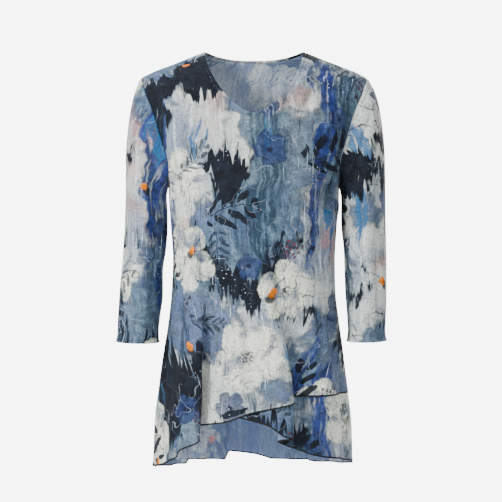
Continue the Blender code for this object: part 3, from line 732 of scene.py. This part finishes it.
def thread_finish(name, colour):
    """Twisted thread, matt, with its wraps a little uneven."""
    finish = bpy.data.materials.new(name)
    finish.use_nodes = True
    tree = finish.node_tree
    shader = tree.nodes["Principled BSDF"]
    at = Wire(tree).node("TexCoord", output="Object")
    fibre = at.noise(1600, 2, 0.6)
    uneven = at.noise(60, 2, 0.5).ease(0.35, 0.65)
    shade = (uneven * 0.5 + fibre * 0.5).over(colour, tuple(0.6 * c + 0.004 for c in colour[:3]) + (1,))
    tree.links.new(shade.socket, shader.inputs["Base Color"])
    tree.links.new((0.55 + fibre * 0.25).socket, shader.inputs["Roughness"])
    bump = at.node("Bump", {}, {"Strength": 0.4, "Distance": 0.0002, "Height": fibre})
    tree.links.new(bump.socket, shader.inputs["Normal"])
    shader.inputs["Specular IOR Level"].default_value = 0.2
    return finish


black_thread = thread_finish("black_overlock_thread", paint(22, 23, 28))


def edging(name, spots, outward, sides=8):
    """Wraps close thread round the cut edge that the spots run along."""
    gone = np.concatenate([[0], np.cumsum(np.linalg.norm(np.diff(spots, axis=0), axis=1))])
    steps = np.arange(0, gone[-1], THREAD_PITCH / 4)
    line = np.stack([np.interp(steps, gone, spots[:, k]) for k in range(3)], -1)
    out = unit(np.stack([np.interp(steps, gone, outward[:, k]) for k in range(3)], -1))
    along = unit(np.gradient(line, axis=0))
    down = np.cross(along, out)
    down *= np.where(down[:, 2:] > 0, -1, 1) * 1.0
    out = unit(np.cross(down, along))
    out *= np.sign(np.sum(out * np.stack([np.interp(steps, gone, outward[:, k]) for k in range(3)], -1), axis=1))[:, None]
    turn = np.linspace(0, 2 * np.pi, sides + 1)[None]
    wrap = np.abs(np.sin(np.pi * steps[:, None] / THREAD_PITCH + 0.5 * np.cos(turn)))
    size = 0.86 + 0.20 * wrap**0.6
    middle = line - out * KNIT / 2
    spots = (
        middle[:, None]
        + down[:, None] * (EDGING_REACH * np.cos(turn) * size)[..., None]
        + out[:, None] * (EDGING_THICK * np.sin(turn) * size)[..., None]
    )
    outside = spots - middle[:, None]
    flat = np.stack([steps[:, None] + 0 * turn, turn * 0.001 + 0 * steps[:, None]], -1)
    piece = lay_cloth(name, spots, outside, flat, [black_thread], closed="ends")
    return piece


front_edging = edging("front_hem_threads", front_spots[-1], outward[-1])


# Under front
# A short layer behind the front, sewn to it below the bust and into both side seams. Its hem
# slants the other way, so it shows only below the front's hem on the wearer's left.

UNDER_FRONT_TOP = -0.430
UNDER_FRONT_HEM = (
    (0.00, -0.640), (0.12, -0.645), (0.30, -0.656), (0.46, -0.677), (0.52, -0.691),
    (0.55, -0.713), (0.62, -0.722), (0.655, -0.736), (0.695, -0.749), (0.83, -0.761),
    (1.00, -0.776),
)
under_front_hem = curve_through(*zip(*UNDER_FRONT_HEM))
under_levels = levels[levels < UNDER_FRONT_TOP]
place, level = np.meshgrid(front_places, under_levels)
hem_at = under_front_hem(front_places)[None]
height = height_at(level, 0.0, hem_at)
outward = front_side.normal(place, height)
free_from = UNDER_FRONT_TOP - 0.25 * (UNDER_FRONT_TOP - LOWEST_HEM)
loose = smooth(np.minimum(place, 1 - place) / 0.10)
loose = loose * smooth((under_levels[0] - level) / (under_levels[0] - free_from))
behind = SOLID_CLOTH + LAYER_GAP_AT_SEAM + (LAYER_GAP - LAYER_GAP_AT_SEAM) * loose
rise = front_side.relief(place, height, 0.0 * place) - behind
shows = smooth((front_hem(front_places)[None] - height) / 0.03)
rise += flutter((place - 0.5) * 0.6 + 0.011, height - hem_at, 0.0018) * shows * smooth((1 - place) / 0.06)
under_spots = front_side.folded(place, height) + outward * rise[..., None]
under_flat = laid_flat(under_spots, 0, 100) + (1.31, 0.12)
under_piece = lay_cloth("under_front_panel", under_spots, outward, under_flat, [knit_face, knit_back], KNIT)
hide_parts("under_front")
under_edging = edging("under_front_hem_threads", under_spots[-1], outward[-1])


# Back
# One panel from the shoulder seams to a level hem that dips a little behind. It hangs in
# folds of its own below the shoulder blades, and its inner face shows through the neck.

BACK_DROP = 0.009
BACK_NECK_POWER = 2.6
BACK_FOLDS = (
    (0.110, -0.44, -0.78, 0.024, 0.000, 0.004),
    (0.262, -0.42, -0.76, 0.022, 0.008, 0.012),
    (0.418, -0.36, -0.74, 0.024, 0.011, 0.015),
    (0.560, -0.40, -0.76, 0.030, 0.000, 0.007),
    (0.700, -0.34, -0.76, 0.024, 0.019, 0.013),
    (0.855, -0.42, -0.76, 0.024, 0.004, 0.006),
)
BACK_HEM = (
    (0.00, -0.787), (0.12, -0.795), (0.243, -0.800), (0.285, -0.789), (0.392, -0.797),
    (0.446, -0.777), (0.50, -0.784), (0.55, -0.794), (0.80, -0.793), (1.00, -0.780),
)
BACK_CREASES = (
    (-0.206, -0.215, -0.110, -0.176, 0.0085, -0.0030, 0.009),
    (-0.200, -0.242, -0.122, -0.248, 0.0070, -0.0024, -0.006),
    (-0.196, -0.264, -0.136, -0.330, 0.0080, 0.0026, 0.007),
    (0.208, -0.220, 0.106, -0.182, 0.0080, -0.0028, -0.009),
    (0.202, -0.246, 0.128, -0.258, 0.0070, -0.0026, 0.006),
    (0.197, -0.268, 0.142, -0.346, 0.0085, 0.0024, -0.007),
    (-0.140, -0.050, -0.092, -0.150, 0.0120, 0.0020, 0.008),
    (0.146, -0.052, 0.096, -0.140, 0.0120, 0.0018, -0.008),
    (-0.070, -0.110, -0.078, -0.260, 0.0140, -0.0020, 0.006),
    (0.066, -0.120, 0.080, -0.280, 0.0140, -0.0022, -0.006),
    (-0.020, -0.250, -0.034, -0.420, 0.0120, -0.0026, 0.006),
    (0.024, -0.270, 0.030, -0.470, 0.0110, 0.0026, -0.005),
    (-0.178, -0.372, -0.110, -0.396, 0.0080, -0.0024, 0.006),
    (0.182, -0.360, 0.118, -0.390, 0.0080, -0.0026, -0.006),
    (0.176, -0.404, 0.100, -0.418, 0.0065, -0.0018, 0.005),
    (-0.172, -0.412, -0.104, -0.440, 0.0065, 0.0016, -0.005),
    (-0.150, -0.420, -0.166, -0.740, 0.0085, 0.0030, -0.004),
    (-0.120, -0.470, -0.128, -0.760, 0.0080, -0.0028, 0.005),
    (-0.060, -0.440, -0.070, -0.720, 0.0090, 0.0028, 0.004),
    (0.002, -0.460, 0.008, -0.740, 0.0085, -0.0030, -0.004),
    (0.048, -0.430, 0.052, -0.700, 0.0090, 0.0026, 0.004),
    (0.128, -0.450, 0.146, -0.750, 0.0085, -0.0026, -0.005),
    (0.170, -0.480, 0.190, -0.760, 0.0080, 0.0028, 0.004),
    (-0.190, -0.500, -0.206, -0.770, 0.0075, -0.0022, 0.003),
)
back_side = BodySide(1, back_deep, back_cut, BACK_FOLDS, BACK_CREASES, 8)
back_hem = curve_through(*zip(*BACK_HEM))


def back_neck_half(height, margin):
    share = np.clip(-height / (BACK_DROP + margin), 0, 1)
    return (NECK_HALF + margin) * (1 - share) ** (1 / BACK_NECK_POWER)


def back_neck(place, margin=BINDING_WIDTH):
    """The back's neckline, brought to the front's height at the shoulder seams."""
    own = neck_heights(back_side, back_neck_half, BACK_DROP, place, margin)
    seam = neck_heights(back_side, back_neck_half, BACK_DROP, np.zeros(1), margin)[0]
    at_seam = 1 - smooth(np.minimum(place, 1 - place) / 0.12)
    return own + (PANEL_TOP - seam) * at_seam


back_places = close_where(196, [(0, 0.03, 2.5), (1, 0.03, 2.5), (0.262, 0.05, 1.0), (0.418, 0.05, 1.4), (0.700, 0.05, 1.0)])
place, level = np.meshgrid(back_places, levels)
neck_at, hem_at = back_neck(back_places)[None], back_hem(back_places)[None]
height = height_at(level, neck_at, hem_at)
outward = back_side.normal(place, height)
rise = back_side.relief(place, height, neck_at)
rise += flutter((place - 0.5) * 0.6 + 0.02, height - hem_at, 0.0020) * smooth(np.minimum(place, 1 - place) / 0.06)
back_spots = back_side.folded(place, height) + outward * rise[..., None]
back_flat = laid_flat(back_spots, armpit_row, 98) * (-1, 1) + (7.66, 0.93)
back_piece = lay_cloth("back_panel", back_spots, outward, back_flat, [knit_face, knit_back], KNIT)
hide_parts("back")
back_edging = edging("back_hem_threads", back_spots[-1], outward[-1])


# Sleeves
# Two three-quarter sleeves, each one piece of cloth closed under the arm and set into the
# armhole. They fall from the shoulder with soft troughs, and end in a stitched hem.

SLEEVE_GAP = 0.00036
SEWN_SHARE = 0.30
CUFF_SHARE = 0.20
CUFF_SAG = 0.003
CUFF_HEM = 0.014
SLEEVE_LENGTH = 0.50
SLEEVE_ROUND = 0.24
SLEEVE_COLUMNS = 72

# Line over the shoulder and elbow, line under the arm, half depths in front and behind, centre
RIGHT_SLEEVE = (
    (0.2128, SHOULDER_TIP, 0.1660, ARMPIT, 0.050, 0.054, 0.000),
    (0.2215, -0.066, 0.1668, -0.260, 0.055, 0.058, 0.000),
    (0.2305, -0.095, 0.1662, -0.269, 0.058, 0.061, 0.000),
    (0.2380, -0.140, 0.1648, -0.283, 0.060, 0.062, -0.001),
    (0.2425, -0.195, 0.1640, -0.304, 0.060, 0.061, -0.002),
    (0.2430, -0.255, 0.1640, -0.335, 0.059, 0.059, -0.004),
    (0.2442, -0.320, 0.1672, -0.375, 0.057, 0.057, -0.007),
    (0.2485, -0.390, 0.1728, -0.415, 0.055, 0.055, -0.011),
    (0.2535, -0.450, 0.1722, -0.458, 0.053, 0.053, -0.015),
    (0.2570, -0.505, 0.1775, -0.502, 0.049, 0.049, -0.018),
    (0.2578, -0.529, 0.1803, -0.526, 0.047, 0.047, -0.019),
    (0.2602, -0.547, 0.1794, -0.546, 0.049, 0.048, -0.020),
)
LEFT_SLEEVE = (
    (0.2128, SHOULDER_TIP, 0.1660, ARMPIT, 0.050, 0.054, 0.000),
    (0.2240, -0.066, 0.1668, -0.260, 0.055, 0.058, 0.000),
    (0.2350, -0.095, 0.1664, -0.269, 0.058, 0.061, 0.000),
    (0.2430, -0.140, 0.1654, -0.283, 0.060, 0.062, -0.001),
    (0.2475, -0.195, 0.1650, -0.304, 0.060, 0.061, -0.002),
    (0.2485, -0.255, 0.1660, -0.335, 0.059, 0.059, -0.004),
    (0.2492, -0.320, 0.1700, -0.375, 0.057, 0.057, -0.007),
    (0.2502, -0.390, 0.1714, -0.415, 0.055, 0.055, -0.011),
    (0.2504, -0.450, 0.1733, -0.458, 0.053, 0.053, -0.015),
    (0.2488, -0.505, 0.1765, -0.502, 0.049, 0.049, -0.018),
    (0.2478, -0.527, 0.1773, -0.525, 0.047, 0.047, -0.019),
    (0.2504, -0.545, 0.1752, -0.544, 0.049, 0.048, -0.020),
)

# Place round the sleeve from its top line over the front, middle, length, width and depth
RIGHT_TROUGHS = (
    (0.335, 0.34, 0.24, 0.055, 0.0085),
    (0.160, 0.56, 0.20, 0.060, 0.0040),
    (0.400, 0.76, 0.15, 0.070, 0.0050),
    (0.680, 0.45, 0.26, 0.065, 0.0070),
    (0.840, 0.66, 0.18, 0.060, 0.0050),
)
LEFT_TROUGHS = (
    (0.320, 0.40, 0.27, 0.052, 0.0090),
    (0.170, 0.60, 0.20, 0.060, 0.0045),
    (0.410, 0.74, 0.15, 0.070, 0.0040),
    (0.665, 0.42, 0.26, 0.065, 0.0075),
    (0.835, 0.68, 0.18, 0.060, 0.0045),
)

# Creases as on the body, by distance round the sleeve and down it
RIGHT_CREASES = (
    (0.030, 0.060, 0.092, 0.130, 0.0090, -0.0022, 0.006),
    (0.118, 0.052, 0.070, 0.110, 0.0080, 0.0020, -0.006),
    (0.108, 0.215, 0.052, 0.262, 0.0075, -0.0026, 0.007),
    (0.106, 0.262, 0.046, 0.296, 0.0070, 0.0022, -0.005),
    (0.104, 0.292, 0.058, 0.318, 0.0060, -0.0020, 0.004),
    (0.028, 0.330, 0.040, 0.450, 0.0080, -0.0020, 0.003),
    (0.078, 0.340, 0.072, 0.460, 0.0080, 0.0022, -0.003),
    (0.132, 0.225, 0.186, 0.268, 0.0075, -0.0024, -0.007),
    (0.134, 0.268, 0.190, 0.300, 0.0070, 0.0020, 0.005),
    (0.150, 0.070, 0.205, 0.140, 0.0090, -0.0024, -0.006),
    (0.200, 0.330, 0.196, 0.450, 0.0080, -0.0022, 0.003),
    (0.168, 0.350, 0.160, 0.460, 0.0075, 0.0020, -0.003),
)
LEFT_CREASES = (
    (0.026, 0.070, 0.090, 0.142, 0.0095, -0.0024, 0.006),
    (0.114, 0.056, 0.066, 0.120, 0.0080, 0.0018, -0.006),
    (0.110, 0.232, 0.050, 0.276, 0.0075, -0.0026, 0.007),
    (0.106, 0.276, 0.052, 0.306, 0.0065, 0.0022, -0.005),
    (0.036, 0.300, 0.030, 0.440, 0.0085, -0.0024, 0.003),
    (0.082, 0.350, 0.070, 0.462, 0.0080, 0.0020, -0.003),
    (0.130, 0.230, 0.188, 0.280, 0.0075, -0.0026, -0.007),
    (0.132, 0.276, 0.184, 0.312, 0.0065, 0.0020, 0.005),
    (0.148, 0.076, 0.208, 0.150, 0.0090, -0.0022, -0.006),
    (0.204, 0.320, 0.192, 0.452, 0.0080, -0.0020, 0.003),
    (0.166, 0.346, 0.164, 0.458, 0.0080, 0.0022, -0.003),
)

TIP_TO_ARMPIT_ACROSS = float(half_width(SHOULDER_TIP) - half_width(ARMPIT))
ARMHOLE_OUT = unit(np.array((ARMPIT - SHOULDER_TIP, 0, -TIP_TO_ARMPIT_ACROSS)))


def armhole_point(turn):
    """The body's armhole seam. turn runs 0 to 1 from the shoulder tip, down the front."""
    middle, half = (SHOULDER_TIP + ARMPIT) / 2, (SHOULDER_TIP - ARMPIT) / 2
    height = middle + half * np.cos(2 * np.pi * turn)
    here = np.zeros_like(height)
    in_front = (turn < 0.5)[..., None]
    spot = np.where(in_front, front_side.ring_point(here, height), back_side.ring_point(here, height))
    spot[..., 1] = np.where((turn == 0) | (turn == 0.5), 0, spot[..., 1])
    return spot


class Sleeve:
    """A sleeve's outer surface on the wearer's right. turn runs round it, down along it."""

    def __init__(self, rings, troughs, creases, seed):
        even = np.linspace(0, 1, len(rings))
        self.ring = [curve_through(even, column) for column in zip(*rings)]
        self.troughs = troughs
        self.creases = creases
        self.seed = seed

    def tube_point(self, turn, down):
        outer_x, outer_z, inner_x, inner_z, before, behind, centre = (read(down) for read in self.ring)
        angle = 2 * np.pi * turn
        deep = np.where(turn <= 0.5, before, behind)
        sag = CUFF_SAG * smooth((down - 1 + CUFF_SHARE) / CUFF_SHARE) * np.sin(np.pi * turn) ** 2
        x = -(outer_x + inner_x) / 2 - (outer_x - inner_x) / 2 * np.cos(angle)
        z = (outer_z + inner_z) / 2 + (outer_z - inner_z) / 2 * np.cos(angle) - sag
        return np.stack([x, centre - deep * np.sin(angle), z], -1)

    def plain_point(self, turn, down):
        """The tube, drawn in to the armhole's own curve where it is sewn on."""
        turn = turn % 1.0
        sewn = (1 - smooth(down / SEWN_SHARE))[..., None]
        drawn = armhole_point(turn) - self.tube_point(turn, np.zeros_like(down))
        return self.tube_point(turn, down) + drawn * sewn + ARMHOLE_OUT * SLEEVE_GAP

    def normal(self, turn, down):
        low, high = np.maximum(down - NEARLY, 0), np.minimum(down + NEARLY, 1)
        round_it = self.plain_point(turn + NEARLY, down) - self.plain_point(turn - NEARLY, down)
        along = self.plain_point(turn, high) - self.plain_point(turn, low)
        return unit(np.cross(along, round_it))

    def relief(self, turn, down):
        rise = np.zeros_like(turn)
        for place, middle, length, width, depth in self.troughs:
            rise -= depth * np.exp(-(((turn - place) / width) ** 2) - ((down - middle) / length) ** 2)
        fine = creased(turn * SLEEVE_ROUND, down * SLEEVE_LENGTH, self.creases)
        fine += rippled(turn * SLEEVE_ROUND, down * SLEEVE_LENGTH, self.seed, 0.0006) * np.sin(np.pi * turn) ** 0.5
        rise = (rise + fine) * smooth(down / 0.06) * smooth((1 - down) / 0.08)
        rise += 0.0012 * smooth(down / 0.02) * smooth((0.06 - down) / 0.03)
        to_cuff = (1 - down) * SLEEVE_LENGTH
        rise += -0.0007 * np.exp(-(((to_cuff - CUFF_HEM) / 0.0016) ** 2)) + 0.0004 * smooth((CUFF_HEM - to_cuff) / 0.002)
        under_arm = np.minimum(np.abs(turn - 0.5), 1.0) * SLEEVE_ROUND
        return rise + sewn_in(under_arm) * smooth(down / 0.03) + sewn_in(down * SLEEVE_LENGTH)


def sew_sleeve(name, node, sleeve, mirror, shift):
    """Lays one sleeve's cloth, and returns its spots and their outward directions."""
    half = close_where(SLEEVE_COLUMNS + 1, [(0, 0.03, 2)]) * 0.5
    turns = np.concatenate([0.5 + half, 1.5 - half[-2::-1]])
    downs = close_where(206, [(0, 0.02, 3), (1 - CUFF_HEM / SLEEVE_LENGTH, 0.015, 2)])
    turn, down = np.meshgrid(turns % 1.0, downs)
    outward = sleeve.normal(turn, down)
    spots = sleeve.plain_point(turn, down) + outward * sleeve.relief(turn, down)[..., None]
    if mirror:
        spots, outward = spots * (-1, 1, 1), outward * (-1, 1, 1)
    flat = laid_flat(spots, len(downs) - 1, SLEEVE_COLUMNS) + shift
    piece = lay_cloth(name, spots, outward, flat, [knit_face, knit_back], KNIT, closed="round")
    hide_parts(node)
    return spots, outward


right_spots, right_outward = sew_sleeve(
    "right_sleeve", "sleeve_right", Sleeve(RIGHT_SLEEVE, RIGHT_TROUGHS, RIGHT_CREASES, 21), False, (5.17, 0.41))
left_spots, left_outward = sew_sleeve(
    "left_sleeve", "sleeve_left", Sleeve(LEFT_SLEEVE, LEFT_TROUGHS, LEFT_CREASES, 34), True, (6.46, 1.18))


# Neck binding
# A strip of the same knit, folded in half and sewn to the raw neck edge with its seam turned
# inwards. It is pulled a little tight, so it puckers slightly between its stitches.

BINDING_SIDES = 18
BINDING_STEP = 0.0012


def neck_line(surface, neck):
    """The panel's neck edge at even steps, the way on past it, and the outward direction."""
    fine = np.linspace(0, 1, 3001)
    edge = surface.folded(fine, neck(fine))
    gone = np.concatenate([[0], np.cumsum(np.linalg.norm(np.diff(edge, axis=0), axis=1))])
    place = np.interp(np.linspace(0, gone[-1], int(gone[-1] / BINDING_STEP)), gone, fine)
    place[0], place[-1] = 0.0, 1.0
    height = neck(place)
    edge, out = surface.folded(place, height), surface.normal(place, height)
    beside = np.minimum(place + 0.002, 1), np.maximum(place - 0.002, 0)
    along = surface.folded(beside[0], neck(beside[0])) - surface.folded(beside[1], neck(beside[1]))
    along[[0, -1], 0] = 0
    along[[0, -1], 2] = 0
    edge[[0, -1], 1] = 0
    return edge, unit(np.cross(out, along) * -surface.side), out, place


front_line = neck_line(front_side, front_neck)
back_line = neck_line(back_side, back_neck)
edge, past, out = (np.concatenate([f, b[-2:0:-1], f[:1]]) for f, b in zip(front_line[:3], back_line[:3]))
gone = np.concatenate([[0], np.cumsum(np.linalg.norm(np.diff(edge, axis=0), axis=1))])[:, None]
turn = np.linspace(0, 2 * np.pi, BINDING_SIDES + 1)[None]
pucker = 1 + 0.05 * np.sin(2 * np.pi * gone / 0.0031) + 0.07 * np.sin(2 * np.pi * gone / 0.0173)
half_wide = (BINDING_WIDTH - SEAM_GAP) / 2
wide = SEAM_GAP + half_wide + half_wide * np.sign(np.cos(turn)) * np.abs(np.cos(turn)) ** 0.7
thick = -KNIT / 2 + 0.00088 * np.sign(np.sin(turn)) * np.abs(np.sin(turn)) ** 0.7 * pucker
binding_spots = edge[:, None] + past[:, None] * (wide + 0 * gone)[..., None] + out[:, None] * thick[..., None]
binding_out = binding_spots - binding_spots.mean(axis=1, keepdims=True)
front_edge_flat = np.stack([np.interp(front_line[3], front_places, front_flat[0, :, k]) for k in range(2)], -1)
back_edge_flat = np.stack([np.interp(back_line[3], back_places, back_flat[0, :, k]) for k in range(2)], -1)
back_edge_flat -= (0, 0.045)
edge_flat = np.concatenate([front_edge_flat, back_edge_flat[-2:0:-1], front_edge_flat[:1]])
binding_flat = edge_flat[:, None] + np.stack([0 * (wide + gone), wide + 0 * gone], -1)
binding = lay_cloth("neck_band", binding_spots, binding_out, binding_flat, [knit_face], closed="round")
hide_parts("neck_binding")


# Stitching
# A single row of grey thread holds each turned sleeve hem. Each stitch sinks a little into
# the knit.

grey_thread = thread_finish("grey_sewing_thread", paint(112, 112, 122))


def stitches(name, line, outward, long, pitch, thick):
    """A row of single stitches along a line on the cloth."""
    gone = np.concatenate([[0], np.cumsum(np.linalg.norm(np.diff(line, axis=0), axis=1))])
    starts = np.arange(pitch / 2, gone[-1] - pitch / 2, pitch)
    mesh = bmesh.new()
    for start in starts:
        ends = [np.array([np.interp(start + s, gone, line[:, k]) for k in range(3)]) for s in (-long / 2, long / 2)]
        out = Vector([np.interp(start, gone, outward[:, k]) for k in range(3)]).normalized()
        along = Vector(ends[1] - ends[0]).normalized()
        side = out.cross(along).normalized()
        turned = Matrix((along, side, along.cross(side))).transposed().to_4x4()
        place = Matrix.Translation(Vector((ends[0] + ends[1]) / 2)) @ turned
        shape = Matrix.Diagonal((long / 2, thick / 2, thick / 2, 1))
        bmesh.ops.create_uvsphere(mesh, u_segments=6, v_segments=5, radius=1, matrix=place @ shape @ Matrix.Rotation(math.pi / 2, 4, "Y"))
    bmesh.ops.recalc_face_normals(mesh, faces=mesh.faces[:])
    data = bpy.data.meshes.new(name)
    mesh.to_mesh(data)
    mesh.free()
    data.shade_smooth()
    data.materials.append(grey_thread)
    piece = bpy.data.objects.new(name, data)
    scene.collection.objects.link(piece)
    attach(piece, "root")


for name, spots, outward in (
    ("right_cuff_stitches", right_spots, right_outward),
    ("left_cuff_stitches", left_spots, left_outward),
):
    along = np.concatenate([[0], np.cumsum(np.linalg.norm(np.diff(spots[:, SLEEVE_COLUMNS * 3 // 2], axis=0), axis=1))])
    row = int(np.argmin(np.abs(along[-1] - along - CUFF_HEM)))
    stitches(name, spots[row], outward[row], 0.0027, 0.0034, 0.00045)
